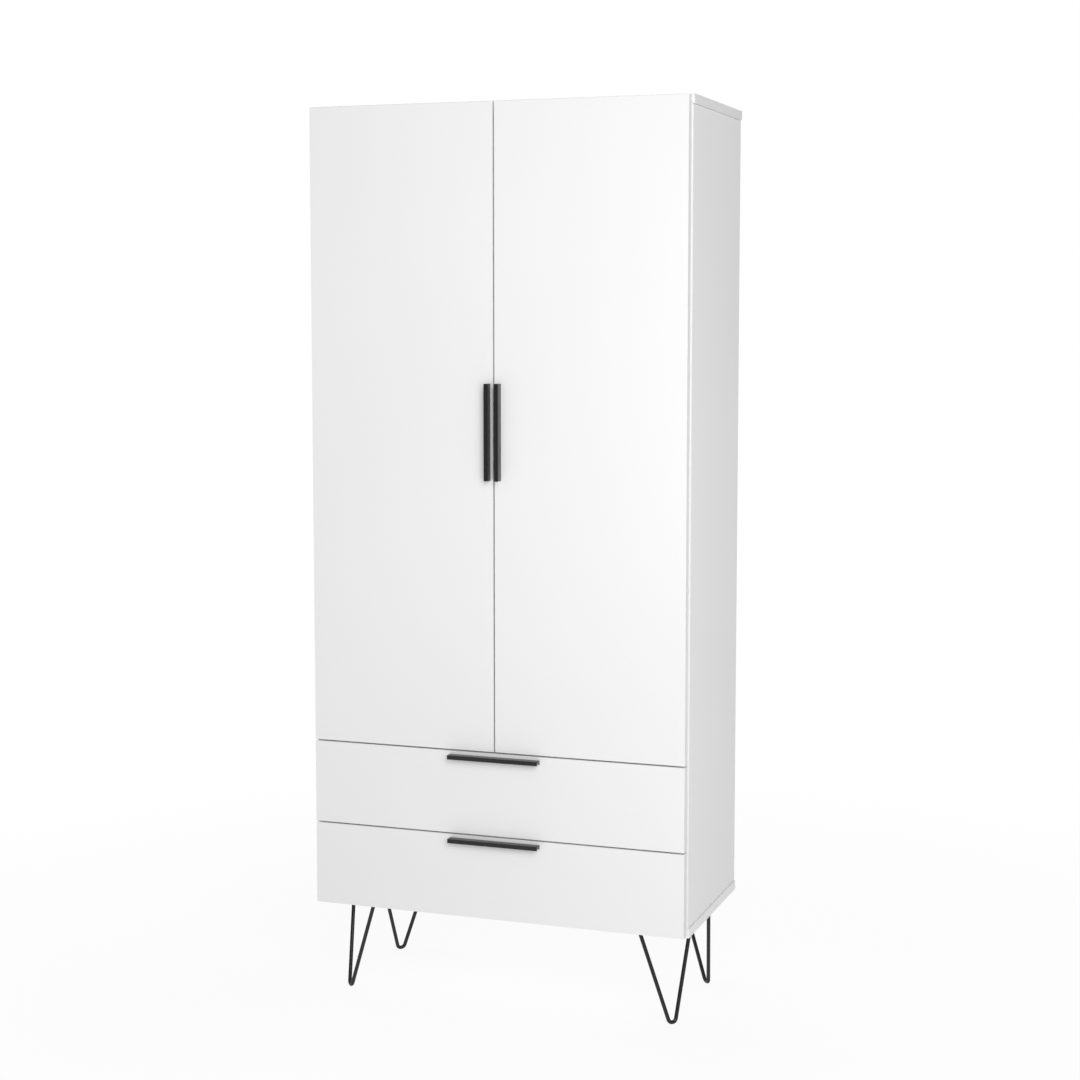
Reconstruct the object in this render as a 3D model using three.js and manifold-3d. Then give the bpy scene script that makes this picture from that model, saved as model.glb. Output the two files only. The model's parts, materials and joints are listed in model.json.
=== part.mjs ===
// Two-door wardrobe on hairpin legs: a white board carcass with two full-overlay doors above two
// full-width drawers. Millimetres, +Z up, the doors face -Y and +X is to the viewer's right. The
// origin is on the floor, under the centre of the whole object's box.
import * as THREE from "three";
import { mergeVertices } from "three/addons/utils/BufferGeometryUtils.js";
import Module from "manifold-3d";

const wasm = await Module();
wasm.setup();

// Overall sizes
const WIDTH = 800; // across the top and bottom panels
const DEPTH = 390; // from the faces of the doors to the back
const HEIGHT = 1830;
const LEG_HEIGHT = 195; // floor to the underside of the bottom panel

// Boards and the gaps between them
const BOARD = 18; // carcass panels, doors and drawer fronts
const TOUCH = 0.3; // clearance kept where two pieces meet
const SIDE_INSET = 2.5; // the side panels stand this far in from the ends of the top and bottom
const REVEAL = 3; // gap between two fronts, and from a front to the edge of the carcass
const FRONT_GAP = 2; // gap between the back of the fronts and the carcass
const DRAWER_FRONT = 168.5; // height of each drawer front
const BACK_BOARD = 3;
const BACK_INSET = 12; // the back boards sit this far in from the rear edges
const GROOVE_DEPTH = 6;

// Handles: a channel section with one open side
const HANDLE_LENGTH = 192;
const HANDLE_WIDTH = 8.5;
const HANDLE_DEPTH = 17;
const HANDLE_WALL = 2;
const DOOR_HANDLE_Z = 1182; // height of a door handle's middle
const DOOR_HANDLE_INSET = 5.25; // from the door's free edge
const DRAWER_HANDLE_DROP = 6.5; // below the drawer front's top edge

// Hairpin legs
const ROD = 8;
const ROD_SIDES = 12;
const BEND_RADIUS = 9; // at the middle of the rod
const BEND_STEPS = 9;
const LEG_SPREAD = 120; // between the two arms at the plate
const LEG_LEAN = 23; // the foot stands this much further out than the arms' middle, in X and in Y
const FOOT_INSET_X = 47; // from the ends of the bottom panel
const FOOT_INSET_Y = 51; // from its front and back edges
const SOLE_FLAT = 0.6; // ground off the underside of the bend
const PLATE = 3;
const PLATE_MARGIN = 17; // from the bottom panel's edges to the leg plate
const PLATE_SIDE = 118; // the plate's two square edges
const PLATE_CLIP = 9; // cut off its sharp corners
const PLATE_HOLE = 2.6; // radius of its screw holes
const PLATE_HOLES = [[14, 14], [52, 14], [14, 52]]; // from its two square edges

// Inside the wardrobe
const HAT_SHELF_Z = 1520; // underside
const HAT_SHELF_SETBACK = 27;
const RAIL_Z = 1475;
const RAIL_HEIGHT = 30;
const RAIL_THICKNESS = 15;
const RAIL_WALL = 1.2;
const RAIL_FLANGE = 2.5; // thickness of the rail brackets' flange, and width of their socket wall
const RAIL_FLANGE_RIM = 8; // the flange reaches this far round the rail, and further up and down
const RAIL_FLANGE_EXTRA = 6;
const RAIL_SOCKET = 14; // depth of the rail brackets
const ANGLE_SIDE = 36; // steel angles that hold the wardrobe to a wall
const ANGLE_WIDTH = 30;
const ANGLE_WALL = 2;
const ANGLE_X = 250;
const ANGLE_SLOT = { radius: 3, straight: 8, drop: 21.6 }; // the drop is below the angle's top

// Concealed hinges. Their drawing plane has s, from the side panel's inner face towards the middle
// of the wardrobe, and f, from the carcass's front edge outwards.
const HINGE_END = 100; // from the ends of the door to the outer hinges
const CUP_RADIUS = 17.5;
const CUP_DEPTH = 12;
const CUP_WALL = 1.2;
const CUP_EDGE = 5; // from the door's edge to the cup
const CUP_FLANGE = 1.2;
const FLANGE_RIM = 2;
const EAR_OFFSET = 9.5; // the screwed ears sit this far in from the cup's centre
const EAR_REACH = 31;
const EAR_WIDTH = 13;
const ARM_PIVOT = { s: 24, f: -7 };
const CUP_PIVOT = { s: -3.5, f: 5 };
const LINK_ELBOW = { s: 2.9, f: 7.2 };
const LINK_HALF_THICKNESS = 1.1;
const EYE_RADIUS = 2.2;
const LINK_HALF_WIDTH = 6;
const EYE_HALF_WIDTH = 7;
const ARM_HALF_WIDTH = 9;
const ARM_WALL = 1.2;
const ARM_OUTLINE = [[28.5, -3.5], [28.5, -12], [15, -31], [15, -60], [3, -60], [3, -25], [20, -3.5]];
const ARM_HOLLOW = [[27.3, -2], [27.3, -12.5], [13.8, -31.5], [13.8, -62], [1, -62], [1, -25], [17, -2]];
const ARM_FOOT = { s: 3.2, near: -20, far: -60 }; // the mounting plate under the arm
const ARM_WINGS = { s: 2.5, near: -30, far: -44, halfHeight: 24 }; // its two screwed wings
const CUP_SEGMENTS = 20; // round the cup, its mouth and its pocket

// Drawer boxes and their ball runners
const RUNNER_SPACE = 12.7; // between a drawer box and the side panel
const RUNNER_LENGTH = 300;
const RUNNER_WALL = 1.2;
const OUTER_RUNNER_HALF = 17.5;
const INNER_RUNNER_HALF = 9;
const OUTER_RUNNER_LIP = 5;
const OUTER_RUNNER_DEPTH = 10.7; // from the side panel to the lips
const INNER_RUNNER_DEPTH = 8.7; // from the drawer box to the edges
const DRAWER_BOARD = 12;
const DRAWER_BOX_HEIGHT = 120;
const DRAWER_BOX_LENGTH = 320;
const DRAWER_BOX_RAISE = 24; // the box stands this far above the lower edge of its front
const DRAWER_BASE = 3;
const DRAWER_BASE_RAISE = 10; // the base's underside, above the lower edge of the box
const DRAWER_GROOVE = 5;

const ROUND_SEGMENTS = 12; // round a small hole, pin or tube end

// Planes that the sizes above give
const FRONT_Y = HANDLE_DEPTH - (DEPTH + HANDLE_DEPTH) / 2; // faces of the doors
const BACK_Y = FRONT_Y + DEPTH;
const DOOR_BACK_Y = FRONT_Y + BOARD;
const CARCASS_Y = DOOR_BACK_Y + FRONT_GAP; // front edges of the carcass
const CARCASS_DEPTH = BACK_Y - CARCASS_Y;
const BACK_BOARD_Y = BACK_Y - BACK_INSET - BACK_BOARD; // inner face of the back boards
const SIDE_X = WIDTH / 2 - SIDE_INSET;
const INNER_X = SIDE_X - BOARD;
const FRONT_X = SIDE_X - REVEAL; // outer edges of the fronts
const FLOOR_Z = LEG_HEIGHT + BOARD; // top of the bottom panel
const CEILING_Z = HEIGHT - BOARD; // underside of the top panel
const LOWER_DRAWER_Z = LEG_HEIGHT + REVEAL;
const UPPER_DRAWER_Z = LOWER_DRAWER_Z + DRAWER_FRONT + REVEAL;
const DOOR_Z = UPPER_DRAWER_Z + DRAWER_FRONT + REVEAL;
const DOOR_TOP_Z = HEIGHT - REVEAL;
const DIVIDER_Z = DOOR_Z - (REVEAL + BOARD) / 2; // underside of the shelf above the drawers
const HINGE_Z = [DOOR_Z + HINGE_END, (DOOR_Z + DOOR_TOP_Z) / 2, DOOR_TOP_Z - HINGE_END];
const CUP_X = FRONT_X - CUP_EDGE - CUP_RADIUS;
const DRAWER_X = INNER_X - RUNNER_SPACE; // outer faces of the drawer boxes

// Finishes
const finish = (color, roughness, metalness) =>
  new THREE.MeshStandardMaterial({ color, roughness, metalness });
const whiteBoard = finish(0xf1f1f0, 0.45, 0);
const paleBoard = finish(0xe6e6e3, 0.6, 0);
const blackMetal = finish(0x2b2e2d, 0.45, 0.6);
const nickel = finish(0xb4b5b3, 0.3, 1);
const zinc = finish(0x9fa3a5, 0.4, 1);

// ---- Shape helpers ----

// A box between two opposite corners.
function block(x0, x1, y0, y1, z0, z1) {
  const box = new THREE.BoxGeometry(x1 - x0, y1 - y0, z1 - z0);
  return box.translate((x0 + x1) / 2, (y0 + y1) / 2, (z0 + z1) / 2);
}

const X = new THREE.Vector3(1, 0, 0);
const Y = new THREE.Vector3(0, 1, 0);
const Z = new THREE.Vector3(0, 0, 1);
const AXES = { x: [Y, Z, X], y: [X, Z, Y.clone().negate()], z: [X, Y, Z] };

// A flat outline pushed along one axis. The outline holds the other two coordinates, in X, Y, Z order.
function prism(outline, axis, from, to, segments = ROUND_SEGMENTS) {
  const shape = outline instanceof THREE.Shape ? outline : new THREE.Shape(points2(outline));
  const settings = { depth: to - from, bevelEnabled: false, curveSegments: segments / 2 };
  const body = new THREE.ExtrudeGeometry(shape, settings);
  body.applyMatrix4(new THREE.Matrix4().makeBasis(...AXES[axis]));
  const start = axis === "y" ? to : from;
  return body.translate(...["x", "y", "z"].map((name) => (name === axis ? start : 0)));
}

function points2(pairs) {
  return pairs.map(([a, b]) => new THREE.Vector2(a, b));
}

// A circle, or a rounded slot when it has a straight part, as an outline of two half circles.
function roundShape(a, b, radius, straight = 0) {
  const shape = new THREE.Shape();
  shape.absarc(a, b + straight / 2, radius, 0, Math.PI, false);
  shape.absarc(a, b - straight / 2, radius, Math.PI, 2 * Math.PI, false);
  return shape;
}

function toSolid(geometry) {
  const bare = geometry.clone();
  bare.deleteAttribute("normal");
  bare.deleteAttribute("uv");
  const { attributes, index } = mergeVertices(bare, 1e-4);
  const vertProperties = attributes.position.array;
  const triVerts = new Uint32Array(index.array);
  return new wasm.Manifold(new wasm.Mesh({ numProp: 3, vertProperties, triVerts }));
}

function toGeometry(solid) {
  const { vertProperties, triVerts } = solid.getMesh();
  const geometry = new THREE.BufferGeometry();
  geometry.setAttribute("position", new THREE.BufferAttribute(vertProperties, 3));
  geometry.setIndex(new THREE.BufferAttribute(triVerts, 1));
  geometry.computeVertexNormals();
  return geometry;
}

function join(...pieces) {
  return toGeometry(pieces.map(toSolid).reduce((whole, piece) => whole.add(piece)));
}

function cut(base, ...tools) {
  return toGeometry(tools.map(toSolid).reduce((rest, tool) => rest.subtract(tool), toSolid(base)));
}

// ---- The assembly ----

const wardrobe = new THREE.Group();

function add(name, geometry, material) {
  const mesh = new THREE.Mesh(geometry, material);
  mesh.name = name;
  wardrobe.add(mesh);
  return mesh;
}

// The same piece on the right and, mirrored, on the left.
function addPair(name, geometry, material) {
  add(`right_${name}`, geometry, material);
  add(`left_${name}`, geometry, material).scale.x = -1;
}

// ---- Carcass ----

function carcass() {
  const half = WIDTH / 2;
  const grooveFront = BACK_BOARD_Y - TOUCH;
  const grooveBack = BACK_BOARD_Y + BACK_BOARD + TOUCH;
  const grooveX = INNER_X + GROOVE_DEPTH;
  const top = block(-half, half, CARCASS_Y, BACK_Y, CEILING_Z, HEIGHT);
  const groove = (low, high) => block(-grooveX, grooveX, grooveFront, grooveBack, low, high);
  add("top_panel", cut(top, groove(CEILING_Z - 1, CEILING_Z + GROOVE_DEPTH)), whiteBoard);
  const bottom = block(-half, half, CARCASS_Y, BACK_Y, LEG_HEIGHT, FLOOR_Z);
  add("bottom_panel", cut(bottom, groove(FLOOR_Z - GROOVE_DEPTH, FLOOR_Z + 1)), whiteBoard);
  const side = block(INNER_X, SIDE_X, CARCASS_Y, BACK_Y, FLOOR_Z + TOUCH, CEILING_Z - TOUCH);
  const sideGroove = block(INNER_X - 1, grooveX, grooveFront, grooveBack, LEG_HEIGHT, HEIGHT);
  addPair("side_panel", cut(side, sideGroove), whiteBoard);

  const shelfX = INNER_X - TOUCH;
  const shelfBack = BACK_BOARD_Y - TOUCH;
  const divider = block(-shelfX, shelfX, CARCASS_Y, shelfBack, DIVIDER_Z, DIVIDER_Z + BOARD);
  add("divider_shelf", divider, whiteBoard);
  const hatShelfFront = CARCASS_Y + HAT_SHELF_SETBACK;
  const hatShelf = block(-shelfX, shelfX, hatShelfFront, shelfBack, HAT_SHELF_Z, HAT_SHELF_Z + BOARD);
  add("hat_shelf", hatShelf, whiteBoard);

  const backX = grooveX - TOUCH;
  const backMiddle = DIVIDER_Z + BOARD / 2;
  const backTop = CEILING_Z + GROOVE_DEPTH - TOUCH;
  const backBottom = FLOOR_Z - GROOVE_DEPTH + TOUCH;
  const backRear = BACK_BOARD_Y + BACK_BOARD;
  const upperBack = block(-backX, backX, BACK_BOARD_Y, backRear, backMiddle + TOUCH, backTop);
  const lowerBack = block(-backX, backX, BACK_BOARD_Y, backRear, backBottom, backMiddle - TOUCH);
  add("upper_back_board", upperBack, paleBoard);
  add("lower_back_board", lowerBack, paleBoard);
}

// An oval tube in two cup brackets, below the hat shelf.
function hangingRail() {
  const y = (CARCASS_Y + BACK_BOARD_Y) / 2;
  const straight = RAIL_HEIGHT - RAIL_THICKNESS;
  const radius = RAIL_THICKNESS / 2;
  const plateX = INNER_X - TOUCH;
  const socketX = plateX - RAIL_SOCKET;
  const railX = plateX - RAIL_FLANGE - TOUCH;
  const tube = roundShape(y, RAIL_Z, radius, straight);
  tube.holes.push(roundShape(y, RAIL_Z, radius - RAIL_WALL, straight));
  add("hanging_rail", prism(tube, "x", -railX, railX), nickel);

  const flange = roundShape(y, RAIL_Z, radius + RAIL_FLANGE_RIM, straight + RAIL_FLANGE_EXTRA);
  const plate = prism(flange, "x", plateX - RAIL_FLANGE, plateX);
  const ring = prism(roundShape(y, RAIL_Z, radius + RAIL_FLANGE, straight), "x", socketX, plateX - 1);
  const pocket = roundShape(y, RAIL_Z, radius + TOUCH, straight);
  const bore = prism(pocket, "x", socketX - 1, plateX - RAIL_FLANGE);
  addPair("rail_bracket", cut(join(plate, ring), bore), nickel);
}

// Steel angles under the top panel, through which the wardrobe is screwed to a wall.
function wallAngles() {
  const top = CEILING_Z - TOUCH;
  const back = BACK_BOARD_Y - TOUCH;
  const outline = [
    [back, top],
    [back - ANGLE_SIDE, top],
    [back - ANGLE_SIDE, top - ANGLE_WALL],
    [back - ANGLE_WALL, top - ANGLE_WALL],
    [back - ANGLE_WALL, top - ANGLE_SIDE],
    [back, top - ANGLE_SIDE],
  ];
  const angle = prism(outline, "x", ANGLE_X - ANGLE_WIDTH / 2, ANGLE_X + ANGLE_WIDTH / 2);
  const slot = roundShape(ANGLE_X, top - ANGLE_SLOT.drop, ANGLE_SLOT.radius, ANGLE_SLOT.straight);
  addPair("wall_angle", cut(angle, prism(slot, "y", back - ANGLE_WALL - 1, back + 1)), zinc);
}

// ---- Legs ----

// A round rod through points that lie in one plane, with square ends.
function rod(points, radius, planeNormal) {
  const last = points.length - 1;
  const positions = [];
  points.forEach((point, i) => {
    const along = points[Math.min(i + 1, last)].clone().sub(points[Math.max(i - 1, 0)]).normalize();
    const side = planeNormal.clone().cross(along);
    for (let j = 0; j < ROD_SIDES; j++) {
      const turn = (2 * Math.PI * j) / ROD_SIDES;
      const out = side.clone().multiplyScalar(Math.cos(turn)).addScaledVector(planeNormal, Math.sin(turn));
      positions.push(...point.clone().addScaledVector(out, radius));
    }
  });
  const faces = [];
  for (let j = 0; j < ROD_SIDES; j++) {
    const next = (j + 1) % ROD_SIDES;
    for (let i = 0; i < last; i++) {
      const [low, high] = [i * ROD_SIDES, (i + 1) * ROD_SIDES];
      faces.push(low + j, low + next, high + next, low + j, high + next, high + j);
    }
    if (j > 0 && next > 0) {
      const end = last * ROD_SIDES;
      faces.push(0, next, j, end, end + j, end + next);
    }
  }
  const geometry = new THREE.BufferGeometry();
  geometry.setAttribute("position", new THREE.Float32BufferAttribute(positions, 3));
  return geometry.setIndex(faces);
}

// The front right leg, in a frame with its origin on the floor under the carcass's centre: one rod
// bent into a V, both arms welded to a clipped triangular plate.
function hairpinLeg() {
  const plateTop = LEG_HEIGHT - TOUCH;
  const plateLow = plateTop - PLATE;
  const foot = new THREE.Vector3(WIDTH / 2 - FOOT_INSET_X, FOOT_INSET_Y - CARCASS_DEPTH / 2, 0);
  const head = foot.clone().add(new THREE.Vector3(-LEG_LEAN, LEG_LEAN, plateLow + 1));
  const across = new THREE.Vector3(1, 1, 0).normalize();
  const up = head.clone().sub(foot).normalize();
  const planeNormal = across.clone().cross(up);
  const lift = (ROD / 2 - SOLE_FLAT) / up.z + BEND_RADIUS;
  const centre = foot.clone().addScaledVector(up, lift);
  const inPlane = (a, h) => centre.clone().addScaledVector(across, a).addScaledVector(up, h);

  const armA = LEG_SPREAD / 2;
  const armH = head.distanceTo(centre);
  const start = Math.atan2(armH, armA) - Math.acos(BEND_RADIUS / Math.hypot(armA, armH));
  const sweep = Math.PI + 2 * start;
  const points = [inPlane(armA, armH)];
  for (let i = 0; i <= BEND_STEPS; i++) {
    const angle = start - (sweep * i) / BEND_STEPS;
    points.push(inPlane(BEND_RADIUS * Math.cos(angle), BEND_RADIUS * Math.sin(angle)));
  }
  points.push(inPlane(-armA, armH));

  const outX = WIDTH / 2 - PLATE_MARGIN;
  const outY = PLATE_MARGIN - CARCASS_DEPTH / 2;
  const corner = (fromX, fromY) => [outX - fromX, outY + fromY];
  const plateOutline = [
    corner(PLATE_CLIP, 0),
    corner(0, PLATE_CLIP),
    corner(0, PLATE_SIDE),
    corner(PLATE_CLIP, PLATE_SIDE),
    corner(PLATE_SIDE, PLATE_CLIP),
    corner(PLATE_SIDE, 0),
  ];
  const plate = new THREE.Shape(points2(plateOutline));
  for (const [fromX, fromY] of PLATE_HOLES) {
    plate.holes.push(roundShape(...corner(fromX, fromY), PLATE_HOLE));
  }
  const ground = block(0, WIDTH, -CARCASS_DEPTH, 0, -ROD, 0);
  return cut(join(rod(points, ROD / 2, planeNormal), prism(plate, "z", plateLow, plateTop)), ground);
}

function legs() {
  const leg = hairpinLeg();
  const centreY = (CARCASS_Y + BACK_Y) / 2;
  for (const [end, alongY] of [["front", 1], ["rear", -1]]) {
    for (const [side, alongX] of [["left", -1], ["right", 1]]) {
      const mesh = add(`${end}_${side}_leg`, leg, blackMetal);
      mesh.scale.set(alongX, alongY, 1);
      mesh.position.y = centreY;
    }
  }
}

// ---- Concealed hinges ----

// From the hinge's drawing plane to X and Y, on the right-hand side of the wardrobe.
const fromHinge = ({ s, f }) => [INNER_X - s, CARCASS_Y - f];
const hingeOutline = (pairs) => pairs.map(([s, f]) => fromHinge({ s, f }));

// The channel-shaped arm with its mounting plate, screwed to the side panel.
function hingeArm(z) {
  const inner = ARM_HALF_WIDTH - ARM_WALL;
  const outside = prism(hingeOutline(ARM_OUTLINE), "z", z - ARM_HALF_WIDTH, z + ARM_HALF_WIDTH);
  const inside = prism(hingeOutline(ARM_HOLLOW), "z", z - inner, z + inner);
  const strip = ({ s, near, far }, halfHeight) => {
    const outline = hingeOutline([[TOUCH, near], [s, near], [s, far], [TOUCH, far]]);
    return prism(outline, "z", z - halfHeight, z + halfHeight);
  };
  const foot = strip(ARM_FOOT, ARM_HALF_WIDTH);
  const wings = strip(ARM_WINGS, ARM_WINGS.halfHeight);
  return join(cut(outside, inside), foot, wings);
}

// A cranked link between the arm's pin and the cup's pin.
function hingeLink(z) {
  const eye = (pivot, radius, halfWidth) =>
    prism(roundShape(...fromHinge(pivot), radius), "z", z - halfWidth, z + halfWidth);
  const bar = (a, b) => {
    const [from, to] = [new THREE.Vector2(...fromHinge(a)), new THREE.Vector2(...fromHinge(b))];
    const edge = to.clone().sub(from).normalize().multiplyScalar(LINK_HALF_THICKNESS);
    const corners = [
      [from.x + edge.y, from.y - edge.x],
      [to.x + edge.y, to.y - edge.x],
      [to.x - edge.y, to.y + edge.x],
      [from.x - edge.y, from.y + edge.x],
    ];
    return prism(corners, "z", z - LINK_HALF_WIDTH, z + LINK_HALF_WIDTH);
  };
  return join(
    eye(ARM_PIVOT, EYE_RADIUS, EYE_HALF_WIDTH),
    eye(CUP_PIVOT, EYE_RADIUS, EYE_HALF_WIDTH),
    eye(LINK_ELBOW, LINK_HALF_THICKNESS, LINK_HALF_WIDTH),
    bar(CUP_PIVOT, LINK_ELBOW),
    bar(LINK_ELBOW, ARM_PIVOT),
  );
}

// The pressed cup and its screwed flange, let into the back of the door.
function hingeCup(z) {
  const inner = CUP_RADIUS - CUP_WALL;
  const profile = points2([
    [0, -CUP_DEPTH],
    [CUP_RADIUS, -CUP_DEPTH],
    [CUP_RADIUS, CUP_FLANGE],
    [inner, CUP_FLANGE],
    [inner, CUP_WALL - CUP_DEPTH],
    [0, CUP_WALL - CUP_DEPTH],
  ]);
  const face = DOOR_BACK_Y + TOUCH;
  const cup = new THREE.LatheGeometry(profile, CUP_SEGMENTS).translate(CUP_X, face, z);
  const rimShape = roundShape(CUP_X, z, CUP_RADIUS + FLANGE_RIM);
  const rim = prism(rimShape, "y", face, face + CUP_FLANGE, CUP_SEGMENTS);
  const earX = CUP_X - EAR_OFFSET;
  const ears = roundShape(earX, z, EAR_WIDTH / 2, 2 * EAR_REACH - EAR_WIDTH);
  const flange = join(rim, prism(ears, "y", face, face + CUP_FLANGE));
  const mouth = prism(roundShape(CUP_X, z, inner), "y", face - 1, face + CUP_FLANGE + 1, CUP_SEGMENTS);
  return join(cut(flange, mouth), cup);
}

// The round pocket that the cup sits in, and the clearance for its depth.
function cupPocket(z) {
  const pocket = roundShape(CUP_X, z, CUP_RADIUS + TOUCH);
  return prism(pocket, "y", DOOR_BACK_Y - CUP_DEPTH - TOUCH, DOOR_BACK_Y + 1, CUP_SEGMENTS);
}

// ---- Doors ----

// A channel section about its closed wall: depth runs out of the front, width runs to the open side.
function handleSection(outwards, towardsOpen, back, closed) {
  const at = (depth, width) => [back + outwards * depth, closed + towardsOpen * width];
  return [
    at(TOUCH, 0),
    at(HANDLE_DEPTH, 0),
    at(HANDLE_DEPTH, HANDLE_WIDTH),
    at(HANDLE_DEPTH - HANDLE_WALL, HANDLE_WIDTH),
    at(HANDLE_DEPTH - HANDLE_WALL, HANDLE_WALL),
    at(HANDLE_WALL + TOUCH, HANDLE_WALL),
    at(HANDLE_WALL + TOUCH, HANDLE_WIDTH),
    at(TOUCH, HANDLE_WIDTH),
  ];
}

function doors() {
  const freeEdge = REVEAL / 2;
  const slab = block(freeEdge, FRONT_X, FRONT_Y, DOOR_BACK_Y, DOOR_Z, DOOR_TOP_Z);
  addPair("door_panel", cut(slab, ...HINGE_Z.map(cupPocket)), whiteBoard);

  const section = handleSection(-1, 1, FRONT_Y, freeEdge + DOOR_HANDLE_INSET).map(([y, x]) => [x, y]);
  const half = HANDLE_LENGTH / 2;
  addPair("door_handle", prism(section, "z", DOOR_HANDLE_Z - half, DOOR_HANDLE_Z + half), blackMetal);

  ["lower", "middle", "upper"].forEach((level, i) => {
    addPair(`${level}_hinge_arm`, hingeArm(HINGE_Z[i]), nickel);
    addPair(`${level}_hinge_link`, hingeLink(HINGE_Z[i]), nickel);
    addPair(`${level}_hinge_cup`, hingeCup(HINGE_Z[i]), nickel);
  });
}

// ---- Drawers ----

function drawer(name, frontZ) {
  const boxFront = DOOR_BACK_Y + TOUCH;
  const boxBack = DOOR_BACK_Y + DRAWER_BOX_LENGTH;
  const boxZ = frontZ + DRAWER_BOX_RAISE;
  const boxTop = boxZ + DRAWER_BOX_HEIGHT;
  const baseZ = boxZ + DRAWER_BASE_RAISE;
  const baseTop = baseZ + DRAWER_BASE;
  const insideX = DRAWER_X - DRAWER_BOARD;
  const grooveX = insideX + DRAWER_GROOVE;
  const groove = (x0, x1, y0, y1) => block(x0, x1, y0, y1, baseZ - TOUCH, baseTop + TOUCH);

  const front = block(-FRONT_X, FRONT_X, FRONT_Y, DOOR_BACK_Y, frontZ, frontZ + DRAWER_FRONT);
  const frontGroove = groove(-grooveX, grooveX, DOOR_BACK_Y - DRAWER_GROOVE, DOOR_BACK_Y + 1);
  add(`${name}_front`, cut(front, frontGroove), whiteBoard);

  const side = block(insideX, DRAWER_X, boxFront, boxBack, boxZ, boxTop);
  const sideBoard = cut(side, groove(insideX - 1, grooveX, boxFront - 1, boxBack + 1));
  add(`${name}_right_side`, sideBoard, paleBoard);
  add(`${name}_left_side`, sideBoard, paleBoard).scale.x = -1;

  const backX = insideX - TOUCH;
  const back = block(-backX, backX, boxBack - DRAWER_BOARD, boxBack, baseTop + TOUCH, boxTop);
  add(`${name}_back`, back, paleBoard);
  const baseX = grooveX - TOUCH;
  const baseFront = DOOR_BACK_Y - DRAWER_GROOVE + TOUCH;
  add(`${name}_base`, block(-baseX, baseX, baseFront, boxBack, baseZ, baseTop), paleBoard);

  const handleTop = frontZ + DRAWER_FRONT - DRAWER_HANDLE_DROP;
  const section = handleSection(-1, -1, FRONT_Y, handleTop).reverse();
  add(`${name}_handle`, prism(section, "x", -HANDLE_LENGTH / 2, HANDLE_LENGTH / 2), blackMetal);
  runners(name, boxZ + DRAWER_BOX_HEIGHT / 2);
}

// One ball runner on each side: a channel on the side panel and a smaller one on the drawer.
function runners(name, z) {
  const outerWall = INNER_X - TOUCH;
  const outerLip = INNER_X - OUTER_RUNNER_DEPTH;
  const lip = OUTER_RUNNER_LIP;
  const high = OUTER_RUNNER_HALF;
  const outerSection = [
    [outerWall, -high],
    [outerWall, high],
    [outerLip, high],
    [outerLip, high - lip],
    [outerLip + RUNNER_WALL, high - lip],
    [outerLip + RUNNER_WALL, high - RUNNER_WALL],
    [outerWall - RUNNER_WALL, high - RUNNER_WALL],
    [outerWall - RUNNER_WALL, RUNNER_WALL - high],
    [outerLip + RUNNER_WALL, RUNNER_WALL - high],
    [outerLip + RUNNER_WALL, lip - high],
    [outerLip, lip - high],
    [outerLip, -high],
  ].map(([x, rise]) => [x, z + rise]);
  const innerWall = DRAWER_X + TOUCH;
  const innerEdge = DRAWER_X + INNER_RUNNER_DEPTH;
  const low = INNER_RUNNER_HALF;
  const innerSection = [
    [innerWall, low],
    [innerWall, -low],
    [innerEdge, -low],
    [innerEdge, RUNNER_WALL - low],
    [innerWall + RUNNER_WALL, RUNNER_WALL - low],
    [innerWall + RUNNER_WALL, low - RUNNER_WALL],
    [innerEdge, low - RUNNER_WALL],
    [innerEdge, low],
  ].map(([x, rise]) => [x, z + rise]);
  const from = CARCASS_Y + FRONT_GAP;
  const pieces = { outer: outerSection.reverse(), inner: innerSection.reverse() };
  for (const [kind, section] of Object.entries(pieces)) {
    const profile = prism(section, "y", from, from + RUNNER_LENGTH);
    add(`${name}_right_${kind}_runner`, profile, zinc);
    add(`${name}_left_${kind}_runner`, profile, zinc).scale.x = -1;
  }
}

carcass();
hangingRail();
wallAngles();
legs();
doors();
drawer("upper_drawer", UPPER_DRAWER_Z);
drawer("lower_drawer", LOWER_DRAWER_Z);

export default wardrobe;
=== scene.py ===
"""The looks of a two-door wardrobe on hairpin legs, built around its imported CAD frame.

Metres, +Z up, the doors face -Y. Every board, handle, leg and hinge is rebuilt from the place and
outline of its CAD node with eased edges, and gets its screws, pins, welds and covers.
"""
import json
import math

import bmesh
import bpy
from mathutils import Matrix, Vector

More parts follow.
